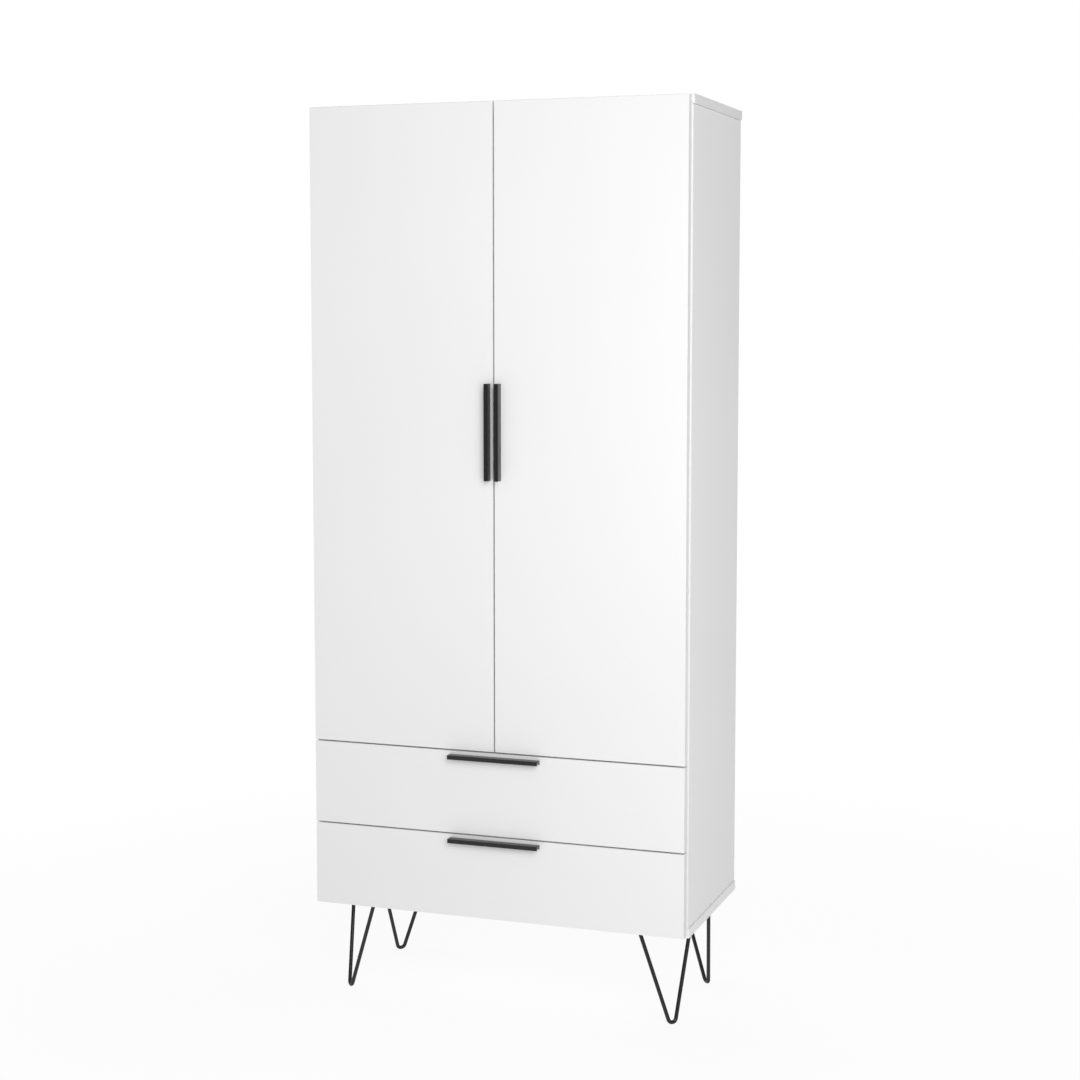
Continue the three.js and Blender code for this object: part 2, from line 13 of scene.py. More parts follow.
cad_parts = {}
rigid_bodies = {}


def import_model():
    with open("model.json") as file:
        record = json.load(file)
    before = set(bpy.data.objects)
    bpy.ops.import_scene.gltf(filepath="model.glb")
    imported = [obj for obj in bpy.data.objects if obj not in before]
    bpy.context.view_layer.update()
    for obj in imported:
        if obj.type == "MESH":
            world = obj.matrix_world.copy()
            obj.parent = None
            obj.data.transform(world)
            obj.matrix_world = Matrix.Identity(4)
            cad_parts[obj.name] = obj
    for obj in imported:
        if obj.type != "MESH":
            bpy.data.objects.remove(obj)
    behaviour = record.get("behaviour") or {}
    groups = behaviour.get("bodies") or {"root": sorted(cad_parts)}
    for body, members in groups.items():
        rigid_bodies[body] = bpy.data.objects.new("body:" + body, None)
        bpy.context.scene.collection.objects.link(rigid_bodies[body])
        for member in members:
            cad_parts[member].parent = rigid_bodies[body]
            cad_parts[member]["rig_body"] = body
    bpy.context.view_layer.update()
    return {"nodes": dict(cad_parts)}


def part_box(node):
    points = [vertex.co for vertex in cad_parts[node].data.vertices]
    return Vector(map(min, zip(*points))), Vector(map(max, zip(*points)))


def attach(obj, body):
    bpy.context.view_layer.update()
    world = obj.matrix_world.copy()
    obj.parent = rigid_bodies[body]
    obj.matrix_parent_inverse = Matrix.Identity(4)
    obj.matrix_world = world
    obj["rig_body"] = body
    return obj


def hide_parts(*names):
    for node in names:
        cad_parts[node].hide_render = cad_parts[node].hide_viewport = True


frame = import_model()

MM = 0.001
MERGE = 1e-6  # vertices closer than this are one
NEAR = 1e-5  # a point closer than this to a plane is on it
FACING = 0.99  # the cosine from which a face counts as facing an axis
FLAT = math.radians(0.5)  # faces that differ less than this are one face
SHARP = math.radians(30)  # edges that turn more than this are corners
SMOOTH = math.radians(50)  # edges that turn less than this are shaded smooth
SIDES = {"right": 1, "left": -1}
LEVELS = ("lower", "middle", "upper")
DRAWERS = ("upper_drawer", "lower_drawer")

# Eased edges: how wide, and in how many steps
BOARD_EASE = 0.27 * MM
THIN_BOARD_EASE = 0.25 * MM
HANDLE_EASE = 0.45 * MM
SHEET_EASE = 0.25 * MM
RAIL_EASE = 0.2 * MM
BRACKET_EASE = 0.4 * MM
PLATE_EASE = 0.5 * MM
STRIP_EASE = 0.15 * MM
FINE_STEPS = 3
METAL_STEPS = 2
JOINT_GAP = 0.45 * MM  # taken off each end of a side panel, so that its joints show as fine lines
HOLLOW_FROM_FACE = 0.8 * MM  # faces this deep inside a handle's outline are its hollow, which gets the painted reflection

# Hairpin legs, as their solids have them
ROD_RADIUS = 4 * MM
BEND_RADIUS = 9 * MM
SOLE_FLAT = 0.6 * MM
LEG_SPREAD = 120 * MM
LEG_LEAN = 23 * MM
PLATE = 3 * MM
PLATE_CLIP = 9 * MM
FOOT_FROM_CORNER = (30 * MM, 34 * MM)
PLATE_SCREWS = ((14 * MM, 14 * MM), (52 * MM, 14 * MM), (14 * MM, 52 * MM))
ROD_SIDES = 24
BEND_STEPS = 18

# The welds where their rods meet their plates
WELD_SIDES = 40
WELD_WIDTH = 2.4 * MM
WELD_HEIGHT = 2.8 * MM
WELD_PROFILE = ((1.0, 0.0), (0.55, 0.3), (0.2, 0.65), (0.0, 1.0))  # shares of its width and height
WELD_RIPPLES = 13
WELD_RIPPLE = 0.12  # their height, as a share of the bead

# Hinges, as their solids have them: inwards from the side panel's face, and back from its front
ARM_PIN = (24 * MM, 7 * MM)
CUP_PIN = (-3.5 * MM, -5 * MM)
ADJUSTERS = ((15 * MM, 39 * MM), (15 * MM, 52 * MM))
WING_SCREW = (2.5 * MM, 37 * MM)
WING_SCREW_UP = 17 * MM
EAR_SCREW = (17 * MM, -0.5 * MM)
EAR_SCREW_UP = 24.5 * MM

# Places of the smaller fittings
HANDLE_SCREW = 80 * MM  # from the handle's middle
BRACKET_FLANGE = 2.5 * MM
BRACKET_SCREW_UP = 21.5 * MM
ANGLE_STEEL = 2 * MM
ANGLE_SCREWS = ((-8 * MM, 14 * MM), (8 * MM, 14 * MM))  # from its middle, and from its front edge
RUNNER_STEEL = 1.2 * MM
RUNNER_SCREWS = (24.5 * MM, 144.5 * MM, 264.5 * MM)  # from the runner's front end
CAM_FROM_END = 34 * MM
CAMS_ALONG = (46 * MM, 326 * MM)  # from the carcass's front
DRAWER_CAM = 24 * MM  # from the drawer side's front end
DRAWER_CAM_LEVELS = (0.25, 0.75)  # shares of the drawer side's height
DOOR_BUMPER = 10.5 * MM  # from the door's free edge
DOOR_BUMPER_LOW = 4.5 * MM  # from the door's foot
DOOR_BUMPER_HIGH = 8 * MM  # from the door's top
DRAWER_BUMPER = (7 * MM, 15 * MM)  # from the drawer front's ends, and from its long edges
STRIP_PLAY = 0.3 * MM  # between the seam strip's ends and the side panels
SHELF_PINS = (56 * MM, 320 * MM)  # from the carcass's front
SHELF_PIN = 2.5 * MM
HOLE_RADIUS = 2.6 * MM
HOLE_DEPTH = 9 * MM
HOLE_SIDES = 16
HOLE_PITCH = 32 * MM
HOLES_EACH_WAY = 4  # above and below the shelf's own pins

# Screw heads: radius and height of each kind
SCREW_HEADS = {
    "handle": (2.9 * MM, 1.5 * MM),
    "leg": (4.6 * MM, 2.4 * MM),
    "adjuster": (2.9 * MM, 1.1 * MM),
    "hinge_arm": (3.4 * MM, 1.6 * MM),
    "hinge_cup": (3.5 * MM, 1.3 * MM),
    "bracket": (2.8 * MM, 1.4 * MM),
    "angle": (3.2 * MM, 1.5 * MM),
    "runner": (3.0 * MM, 1.4 * MM),
}
SCREW_SIDES = 24
PAN_HEAD = ((1.0, 0.0), (1.0, 0.35), (0.93, 0.68), (0.78, 0.9), (0.62, 1.0))  # shares of both
RECESS_REACH = 0.46  # the cross recess's arms, as shares of the head's radius
RECESS_HALF_WIDTH = 0.13
RECESS_TAPER = 0.6  # the recess's floor against its mouth
RECESS_FLOOR = 0.35  # where the floor lies, as a share of the head's height

# Turned fittings: the radius and height of each step of their profile, in millimetres
ARM_PIN_SHAPE = ((1.2, -9.7), (1.8, -9.4), (1.8, 9.4), (1.2, 9.7))
CUP_PIN_SHAPE = ((1.0, -12.9), (1.5, -12.6), (1.5, 12.6), (1.0, 12.9))
CAM_COVER = ((8.6, -0.2), (8.9, 0.25), (8.5, 0.7), (7.4, 0.9), (6.9, 0.75))
BUMPER = ((3.2, -0.2), (3.3, 0.5), (2.9, 1.2), (2.0, 1.6))
SHELF_PIN_SHAPE = ((2.1, -8), (2.5, -7.6), (2.5, 7.2), (2.2, 7.8), (1.4, 8.1))
FITTING_SIDES = 24
COVER_SIDES = 32

# The seam strip's section in millimetres: back from the back boards, and up from their seam
SEAM_STRIP = ((0.1, -12), (0.7, -12), (1.3, -9.5), (1.3, 9.5), (0.7, 12), (0.1, 12))

# Light: the background as the camera sees it, and what the sky and the floor light the object with
WHITE = 1.0
SKY_LIGHT = 0.374
FLOOR_LIGHT = 0.811

# Each softbox: its place, what it points at, the side of its square, and its watts
SOFTBOXES = {
    "key_light": ((1.7, -3.2, 2.6), (0.0, 0.0, 1.1), 2.0, 63.4),
    "side_fill": ((1.4, -1.6, 1.0), (0.0, 0.0, 1.1), 0.8, 6.9),
    "top_light": ((0.0, 0.6, 3.6), (0.0, 0.45, 1.8), 0.8, 14),
    "back_fill": ((-2.6, 3.6, 2.4), (0.0, 0.0, 0.9), 2.4, 52),
}

# Floor
FLOOR_RADIUS = 9.0
FLOOR_SIDES = 96
FLOOR_FADE = (0.5, 2.4)  # from its middle: where the fade to the background starts and ends
FLOOR_LEAST_GLOW = 0.9  # the background's share in the middle
PAPER = 0.93

# Camera
CAMERA_AT = (1.4337, -3.965, 1.416)
CAMERA_AZIMUTH = 19.484  # degrees from +Y towards -X
CAMERA_PITCH = 5.264  # degrees down
CAMERA_LENS = 68.343  # millimetres
CAMERA_SHIFT_Y = -0.035
SENSOR = 36  # millimetres

# Patterns
MOST_NOISE = (0.3, 0.7)  # where most values of a noise lie
NOISE_DETAIL = 3.0


# ---- Materials ----


def noise(tree, place, scale, stretch=(1, 1, 1)):
    """The value of a noise over the piece, scale to the metre and stretched along each axis."""
    mapping = tree.nodes.new("ShaderNodeMapping")
    mapping.inputs["Scale"].default_value = stretch
    tree.links.new(place, mapping.inputs["Vector"])
    texture = tree.nodes.new("ShaderNodeTexNoise")
    texture.inputs["Scale"].default_value = scale
    texture.inputs["Detail"].default_value = NOISE_DETAIL
    tree.links.new(mapping.outputs["Vector"], texture.inputs["Vector"])
    return texture.outputs["Fac"]


def cells(tree, place, scale):
    """The random shade of each cell of a Voronoi pattern."""
    texture = tree.nodes.new("ShaderNodeTexVoronoi")
    texture.inputs["Scale"].default_value = scale
    tree.links.new(place, texture.inputs["Vector"])
    grey = tree.nodes.new("ShaderNodeRGBToBW")
    tree.links.new(texture.outputs["Color"], grey.inputs["Color"])
    return grey.outputs["Val"]


def to_range(tree, value, low, high):
    """A pattern's value, spread from low to high."""
    ramp = tree.nodes.new("ShaderNodeMapRange")
    ramp.inputs["From Min"].default_value = MOST_NOISE[0]
    ramp.inputs["From Max"].default_value = MOST_NOISE[1]
    ramp.inputs["To Min"].default_value = low
    ramp.inputs["To Max"].default_value = high
    tree.links.new(value, ramp.inputs["Value"])
    return ramp.outputs["Result"]


def surface(
    name, tones, drift, roughness, grain, depth, metallic=0.0, stretch=(1, 1, 1), spangle=0.0, gloss=0.5
):
    """A finish whose colour drifts between two tones, over a fine grain that also roughens it.

    drift and grain are patterns to the metre, depth is the height of the grain in metres, gloss is
    the shader's specular level, and spangle, where it isn't 0, is the crystals to the metre that
    colour a zinc coat.
    """
    material = bpy.data.materials.new(name)
    material.use_nodes = True
    tree = material.node_tree
    shader = tree.nodes["Principled BSDF"]
    shader.inputs["Metallic"].default_value = metallic
    shader.inputs["Specular IOR Level"].default_value = gloss
    place = tree.nodes.new("ShaderNodeTexCoord").outputs["Object"]

    mix = tree.nodes.new("ShaderNodeMix")
    mix.data_type = "RGBA"
    mix.inputs["A"].default_value = (*tones[0], 1)
    mix.inputs["B"].default_value = (*tones[1], 1)
    patches = cells(tree, place, spangle) if spangle else noise(tree, place, drift)
    tree.links.new(to_range(tree, patches, 0, 1), mix.inputs["Factor"])
    tree.links.new(mix.outputs["Result"], shader.inputs["Base Color"])

    fine = noise(tree, place, grain, stretch)
    tree.links.new(to_range(tree, fine, *roughness), shader.inputs["Roughness"])
    bump = tree.nodes.new("ShaderNodeBump")
    bump.inputs["Strength"].default_value = 1.0
    bump.inputs["Distance"].default_value = depth
    tree.links.new(fine, bump.inputs["Height"])
    tree.links.new(bump.outputs["Normal"], shader.inputs["Normal"])
    return material


def both(red, green, blue, spread):
    """Two tones a little darker and a little lighter than a colour."""
    return [tuple(c * share for c in (red, green, blue)) for share in (1 - spread, 1 + spread)]


melamine = surface(
    "white_melamine",
    tones=both(0.885, 0.885, 0.885, 0.01),
    drift=2.2,
    roughness=(0.52, 0.62),
    grain=900,
    depth=0.00002,
    gloss=0.3,
)
edge_band = surface(
    "white_edge_band",
    tones=both(0.88, 0.88, 0.88, 0.012),
    drift=6.0,
    roughness=(0.3, 0.4),
    grain=700,
    depth=0.000015,
)
# Darker than the other edge bands: painted shade on the narrow faces of the doors and drawer fronts, so
# the gaps between the fronts read darker.
front_band_painted_shade = surface(
    "front_edge_band_painted_shade",
    tones=both(0.82, 0.82, 0.82, 0.012),
    drift=6.0,
    roughness=(0.4, 0.5),
    grain=700,
    depth=0.000015,
    gloss=0.3,
)
foil = surface(
    "pale_foil",
    tones=both(0.8, 0.8, 0.79, 0.01),
    drift=5.0,
    roughness=(0.55, 0.68),
    grain=1100,
    depth=0.00003,
)
raw_edge = surface(
    "pale_board_edge",
    tones=both(0.76, 0.75, 0.72, 0.03),
    drift=60.0,
    roughness=(0.6, 0.75),
    grain=1500,
    depth=0.00006,
)
powder = surface(
    "black_powder_coat",
    tones=both(0.006, 0.0063, 0.0063, 0.15),
    drift=14.0,
    roughness=(0.2, 0.28),
    grain=1600,
    depth=0.00002,
)
satin = surface(
    "black_satin_coat",
    tones=both(0.006, 0.0062, 0.0062, 0.15),
    drift=14.0,
    roughness=(0.2, 0.29),
    grain=1800,
    depth=0.000008,
)
# A lighter grey copy of the black satin coat for the handles' hollows: a painted reflection of the
# white door in them.
hollow_painted_reflection = surface(
    "grey_satin_painted_reflection",
    tones=both(0.2, 0.2, 0.2, 0.08),
    drift=20.0,
    roughness=(0.26, 0.36),
    grain=1500,
    depth=0.000008,
)
nickel = surface(
    "nickel_plate",
    tones=both(0.62, 0.62, 0.6, 0.04),
    drift=30.0,
    roughness=(0.2, 0.34),
    grain=1200,
    depth=0.00001,
    metallic=1.0,
    stretch=(1, 1, 12),
)
zinc = surface(
    "zinc_plate",
    tones=both(0.55, 0.57, 0.58, 0.08),
    drift=30.0,
    roughness=(0.32, 0.46),
    grain=900,
    depth=0.00001,
    metallic=1.0,
    spangle=420,
)
white_plastic = surface(
    "white_plastic",
    tones=both(0.84, 0.84, 0.83, 0.015),
    drift=40.0,
    roughness=(0.4, 0.5),
    grain=1300,
    depth=0.00003,
)
clear_rubber = surface(
    "clear_rubber",
    tones=both(0.7, 0.71, 0.7, 0.03),
    drift=90.0,
    roughness=(0.25, 0.35),
    grain=1500,
    depth=0.00001,
)


# ---- Mesh helpers ----


def cad_mesh(node):
    """A CAD node's mesh, with its flat faces made whole again."""
    mesh = bmesh.new()
    mesh.from_mesh(frame["nodes"][node].data)
    bmesh.ops.remove_doubles(mesh, verts=mesh.verts, dist=MERGE)
    bmesh.ops.dissolve_limit(mesh, angle_limit=FLAT, verts=mesh.verts, edges=mesh.edges)
    return mesh


def ease(mesh, edges, width, segments):
    """Rounds edges off, width from the edge on each face."""
    bmesh.ops.bevel(
        mesh,
        geom=edges,
        offset=width,
        offset_type="OFFSET",
        segments=segments,
        profile=0.5,
        affect="EDGES",
        clamp_overlap=True,
    )


def on_face(face, at):
    """Whether a point lies in a face's plane."""
    return abs((at - face.verts[0].co).dot(face.normal)) < NEAR


def corner_edges(mesh):
    return [e for e in mesh.edges if len(e.link_faces) == 2 and e.calc_face_angle() > SHARP]


def box_edges(mesh, low, high):
    """The edges along the twelve outer edges of a box."""

    def planes(vert):
        return {
            (axis, bound)
            for axis in range(3)
            for bound, at in enumerate((low, high))
            if abs(vert.co[axis] - at[axis]) < NEAR
        }

    return [e for e in mesh.edges if len(planes(e.verts[0]) & planes(e.verts[1])) >= 2]


def shorten(mesh, low, high, by):
    """Takes a little off the upper and lower ends of a board, and off its two corners with them."""
    for vert in mesh.verts:
        if abs(vert.co.z - low.z) < NEAR:
            vert.co.z += by
        elif abs(vert.co.z - high.z) < NEAR:
            vert.co.z -= by
    low.z += by
    high.z -= by


def piece(name, mesh, materials, body, stands_for=()):
    """Makes a mesh into a shown piece that moves with a body."""
    bmesh.ops.recalc_face_normals(mesh, faces=mesh.faces)
    data = bpy.data.meshes.new(name)
    mesh.to_mesh(data)
    mesh.free()
    if "custom_normal" in data.attributes:
        data.attributes.remove(data.attributes["custom_normal"])
    for material in materials:
        data.materials.append(material)
    data.shade_smooth()
    data.set_sharp_from_angle(angle=SMOOTH)
    shown = bpy.data.objects.new(name, data)
    bpy.context.scene.collection.objects.link(shown)
    weighted = shown.modifiers.new("even_shading", "WEIGHTED_NORMAL")
    weighted.keep_sharp = True
    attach(shown, body)
    if stands_for:
        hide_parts(*stands_for)
    return shown


def body_of(node):
    return frame["nodes"][node]["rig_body"]


def board(node, face, band, width=BOARD_EASE, holes=(), end_gap=0.0):
    """A board with eased edges: its two large faces have one finish, its narrow ones the other.

    holes are the places of blind pin holes in one of its large faces, and end_gap is what the
    board's upper and lower ends are short of its solid.
    """
    low, high = (Vector(corner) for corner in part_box(node))
    size = high - low
    thin = min(range(3), key=lambda axis: size[axis])
    mesh = cad_mesh(node)
    if end_gap:
        shorten(mesh, low, high, end_gap)
    ease(mesh, box_edges(mesh, low, high), width, FINE_STEPS)
    for f in mesh.faces:
        f.material_index = 0 if abs(f.normal[thin]) > FACING else 1
    if holes:
        drill(mesh, holes, core_material=2)
    return piece(f"{node}_finished", mesh, [face, band, raw_edge], body_of(node), [node])


def metalwork(node, material, width, segments=METAL_STEPS, hollow=None):
    """A metal piece with all its corners eased, and perhaps a lighter copy of its finish in its hollow
    as a painted reflection.
    """
    mesh = cad_mesh(node)
    ease(mesh, corner_edges(mesh), width, segments)
    if hollow:
        low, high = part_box(node)
        for f in mesh.faces:
            at = f.calc_center_median()
            if min(min(at[i] - low[i], high[i] - at[i]) for i in range(3)) > HOLLOW_FROM_FACE:
                f.material_index = 1
    materials = [material, hollow] if hollow else [material]
    return piece(f"{node}_finished", mesh, materials, body_of(node), [node])


def turn_to(axis, at):
    """The matrix that takes +Z to an axis and the origin to a point."""
    turn = Vector(axis).to_track_quat("Z", "Y").to_matrix().to_4x4()
    return Matrix.Translation(Vector(at)) @ turn


def around(count):
    """The angles of equal steps round a circle."""
    return [2 * math.pi * i / count for i in range(count)]


def ring(mesh, radius, height, count, matrix):
    """A circle of points at a height along a matrix's Z."""
    return [
        mesh.verts.new(matrix @ Vector((radius * math.cos(a), radius * math.sin(a), height)))
        for a in around(count)
    ]


def bridge(mesh, lower, upper):
    """A band of faces between two loops of as many points."""
    count = len(lower)
    for i in range(count):
        j = (i + 1) % count
        mesh.faces.new((lower[i], lower[j], upper[j], upper[i]))


def closed_tube(mesh, rings):
    """Bands of faces between loops of points, closed at both ends."""
    for lower, upper in zip(rings, rings[1:]):
        bridge(mesh, lower, upper)
    mesh.faces.new(list(reversed(rings[0])))
    mesh.faces.new(rings[-1])


def loop_edges(mesh, loop):
    """The edges from each point of a loop to the next."""
    return [mesh.edges.get((loop[i], loop[(i + 1) % len(loop)])) for i in range(len(loop))]


def turned(mesh, profile, matrix, count):
    """A closed turned shape: the profile is (radius, height) from its foot to its top."""
    closed_tube(mesh, [ring(mesh, radius, height, count, matrix) for radius, height in profile])


def drill(mesh, holes, core_material):
    """Blind pin holes in the flat face that holds them all."""
    within = bmesh.geometry.intersect_face_point
    face = next(f for f in mesh.faces if on_face(f, holes[0]) and within(f, holes[0]))
    axis = face.normal.copy()
    outlines = list(face.edges)
    bmesh.ops.delete(mesh, geom=[face], context="FACES_ONLY")
    whole = set(mesh.faces)
    for at in holes:
        matrix = turn_to(axis, at)
        end = ring(mesh, HOLE_RADIUS, -HOLE_DEPTH, HOLE_SIDES, matrix)
        mouth = ring(mesh, HOLE_RADIUS, 0, HOLE_SIDES, matrix)
        bridge(mesh, end, mouth)
        mesh.faces.new(end)
        outlines += [mesh.edges.get((mouth[i - 1], mouth[i])) for i in range(HOLE_SIDES)]
    for f in set(mesh.faces) - whole:
        f.material_index = core_material
    bmesh.ops.triangle_fill(mesh, use_beauty=True, edges=outlines, normal=axis)

    # The fill's triangles come in an order that varies, so all faces are put in a fixed one
    mesh.verts.index_update()
    ordered = sorted(mesh.faces, key=lambda f: sorted(vert.index for vert in f.verts))
    for place, f in enumerate(ordered):
        f.index = place
    mesh.faces.sort()


def screw_head(mesh, at, axis, kind):
    """A pan head with a cross recess, standing on a face."""
    radius, height = SCREW_HEADS[kind]
    matrix = turn_to(axis, at)
    rings = [ring(mesh, radius * r, height * h, SCREW_SIDES, matrix) for r, h in PAN_HEAD]
    for lower, upper in zip(rings, rings[1:]):
        bridge(mesh, lower, upper)
    mesh.faces.new(list(reversed(rings[0])))

    arm, half = RECESS_REACH * radius, RECESS_HALF_WIDTH * radius
    outline = []
    for a in around(4):
        for x, y in ((half, half), (half, arm), (-half, arm)):
            outline.append((x * math.cos(a) - y * math.sin(a), x * math.sin(a) + y * math.cos(a)))
    mouth = [mesh.verts.new(matrix @ Vector((x, y, height))) for x, y in outline]
    end = [
        mesh.verts.new(matrix @ Vector((RECESS_TAPER * x, RECESS_TAPER * y, RECESS_FLOOR * height)))
        for x, y in outline
    ]
    bridge(mesh, mouth, end)
    mesh.faces.new(end)
    edges = loop_edges(mesh, rings[-1]) + loop_edges(mesh, mouth)
    bmesh.ops.triangle_fill(mesh, use_beauty=True, edges=edges)


def screws(name, places, body, kind, material=zinc):
    """One piece of several screw heads of a kind, each at a point and along an axis."""
    mesh = bmesh.new()
    for at, axis in places:
        screw_head(mesh, at, axis, kind)
    return piece(name, mesh, [material], body)


def fittings(name, places, profile, body, material, count=FITTING_SIDES):
    """One piece of several equal turned fittings, each at a point and along an axis."""
    mesh = bmesh.new()
    for at, axis in places:
        turned(mesh, [(r * MM, h * MM) for r, h in profile], turn_to(axis, at), count)
    return piece(name, mesh, [material], body)


def swept(mesh, points, radius, normal, count):
    """A round rod along a path in one plane, with flat ends."""
    rings = []
    last = len(points) - 1
    for i, point in enumerate(points):
        along = (points[min(i + 1, last)] - points[max(i - 1, 0)]).normalized()
        side = normal.cross(along)
        rings.append(
            [
                mesh.verts.new(point + (side * math.cos(a) + normal * math.sin(a)) * radius)
                for a in around(count)
            ]
        )
    closed_tube(mesh, rings)


def slab(mesh, outline, low, high):
    """A flat plate with a given outline in X and Y."""
    foot = [mesh.verts.new((x, y, low)) for x, y in outline]
    top = [mesh.verts.new((x, y, high)) for x, y in outline]
    closed_tube(mesh, [foot, top])
    return foot + top


# ---- Inside: where the fittings are measured from ----

WALLS = {side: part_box(f"{side}_side_panel") for side in SIDES}
WALL_X = {"right": WALLS["right"][0].x, "left": WALLS["left"][1].x}
CARCASS_FRONT = WALLS["right"][0].y
INWARDS = {side: (-sign, 0, 0) for side, sign in SIDES.items()}


def inside(side, across, back, z):
    """A point at a distance inwards from a side panel's face and back from the carcass's front."""
    return Vector((WALL_X[side] - SIDES[side] * across, CARCASS_FRONT + back, z))


def middle_of(node):
    low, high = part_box(node)
    return (low + high) / 2


# ---- Boards ----

for name in ("top_panel", "bottom_panel", "divider_shelf", "hat_shelf"):
    board(name, melamine, edge_band)
pin_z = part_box("hat_shelf")[0].z - SHELF_PIN
for side in SIDES:
    rows = [pin_z + step * HOLE_PITCH for step in range(-HOLES_EACH_WAY, HOLES_EACH_WAY + 1)]
    holes = [inside(side, 0, back, z) for back in SHELF_PINS for z in rows]
    wall = f"{side}_side_panel"
    board(wall, melamine, edge_band, holes=holes, end_gap=JOINT_GAP)
# The doors take the darker edge band: painted shade for the gaps between the fronts.
for side in SIDES:
    board(f"{side}_door_panel", melamine, front_band_painted_shade)
for name in ("upper_back_board", "lower_back_board"):
    board(name, foil, raw_edge, THIN_BOARD_EASE)
for drawer in DRAWERS:
    # The drawer front's narrow faces take the darker band: painted shade for the gaps between the
    # fronts.
    board(f"{drawer}_front", melamine, front_band_painted_shade)
    for part in ("right_side", "left_side", "back"):
        board(f"{drawer}_{part}", foil, edge_band, THIN_BOARD_EASE)
    board(f"{drawer}_base", foil, raw_edge, THIN_BOARD_EASE)


# ---- Handles, with the screws that hold them from behind ----

HANDLES = {
    "right_door_handle": "right_door_panel",
    "left_door_handle": "left_door_panel",
    "upper_drawer_handle": "upper_drawer_front",
    "lower_drawer_handle": "lower_drawer_front",
}
for handle, panel in HANDLES.items():
    # The hollow faces take the lighter grey coat, a painted reflection.
    metalwork(handle, satin, HANDLE_EASE, FINE_STEPS, hollow_painted_reflection)
    low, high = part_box(handle)
    middle = (low + high) / 2
    middle.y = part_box(panel)[1].y
    along = Vector((0, 0, 1)) if high.z - low.z > high.x - low.x else Vector((1, 0, 0))
    heads = [(middle + along * step, (0, 1, 0)) for step in (-HANDLE_SCREW, HANDLE_SCREW)]
    screws(f"{handle}_screws", heads, body_of(panel), "handle")


# ---- Legs ----


def weld(mesh, at, along, plate_z, radius):
    """A rippled bead where a rod meets its plate."""
    side = along.cross(Vector((0, 0, 1))).normalized()
    other = along.cross(side)
    rings = []
    for out, down in WELD_PROFILE:
        row = []
        for a in around(WELD_SIDES):
            ripple = 1 + WELD_RIPPLE * math.sin(a * WELD_RIPPLES)
            reach = radius + WELD_WIDTH * out * ripple
            point = at + (side * math.cos(a) + other * math.sin(a)) * reach
            level = plate_z - WELD_HEIGHT * down * ripple
            row.append(mesh.verts.new(point + along * ((level - point.z) / along.z)))
        rings.append(row)
    closed_tube(mesh, rings)


def hairpin_leg(end, side):
    """One bent rod welded to a clipped plate, as its solid has them, and the plate's screws."""
    node = f"{end}_{side}_leg"
    low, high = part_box(node)
    out_x, out_y = SIDES[side], -1 if end == "front" else 1
    corner = Vector((high.x if out_x > 0 else low.x, low.y if out_y < 0 else high.y, 0))

    def inwards(x, y, z=0.0):
        return corner + Vector((-out_x * x, -out_y * y, z))

    plate_low = high.z - PLATE
    foot = inwards(*FOOT_FROM_CORNER)
    head = foot + Vector((-out_x * LEG_LEAN, -out_y * LEG_LEAN, plate_low + MM))
    across = Vector((out_x, -out_y, 0)).normalized()
    up = (head - foot).normalized()
    centre = foot + up * ((ROD_RADIUS - SOLE_FLAT) / up.z + BEND_RADIUS)
    reach, rise = LEG_SPREAD / 2, (head - centre).length
    start = math.atan2(rise, reach) - math.acos(BEND_RADIUS / math.hypot(reach, rise))
    points = [centre + across * reach + up * rise]
    for i in range(BEND_STEPS + 1):
        angle = start - (math.pi + 2 * start) * i / BEND_STEPS
        points.append(centre + (across * math.cos(angle) + up * math.sin(angle)) * BEND_RADIUS)
    points.append(centre - across * reach + up * rise)

    mesh = bmesh.new()
    swept(mesh, points, ROD_RADIUS, across.cross(up), ROD_SIDES)
    for vert in mesh.verts:
        vert.co.z = max(vert.co.z, 0.0)
    for end_point, before in ((points[0], points[1]), (points[-1], points[-2])):
        along = (end_point - before).normalized()
        entry = end_point + along * ((plate_low - end_point.z) / along.z)
        weld(mesh, entry, along, plate_low, ROD_RADIUS)
    width = high.x - low.x
    outline = [
        inwards(x, y).xy
        for x, y in (
            (PLATE_CLIP, 0),
            (0, PLATE_CLIP),
            (0, width),
            (PLATE_CLIP, width),
            (width, PLATE_CLIP),
            (width, 0),
        )
    ]
    plate = slab(mesh, outline, plate_low, high.z)
    edges = {e for v in plate for e in v.link_edges}
    ease(mesh, list(edges), PLATE_EASE, METAL_STEPS)
    piece(f"{node}_finished", mesh, [powder], "carcass", [node])
    heads = [(inwards(x, y, plate_low), (0, 0, -1)) for x, y in PLATE_SCREWS]
    screws(f"{node}_screws", heads, "carcass", "leg", powder)


for end in ("front", "rear"):
    for side in SIDES:
        hairpin_leg(end, side)


# ---- Hinges, with their pins and screws ----


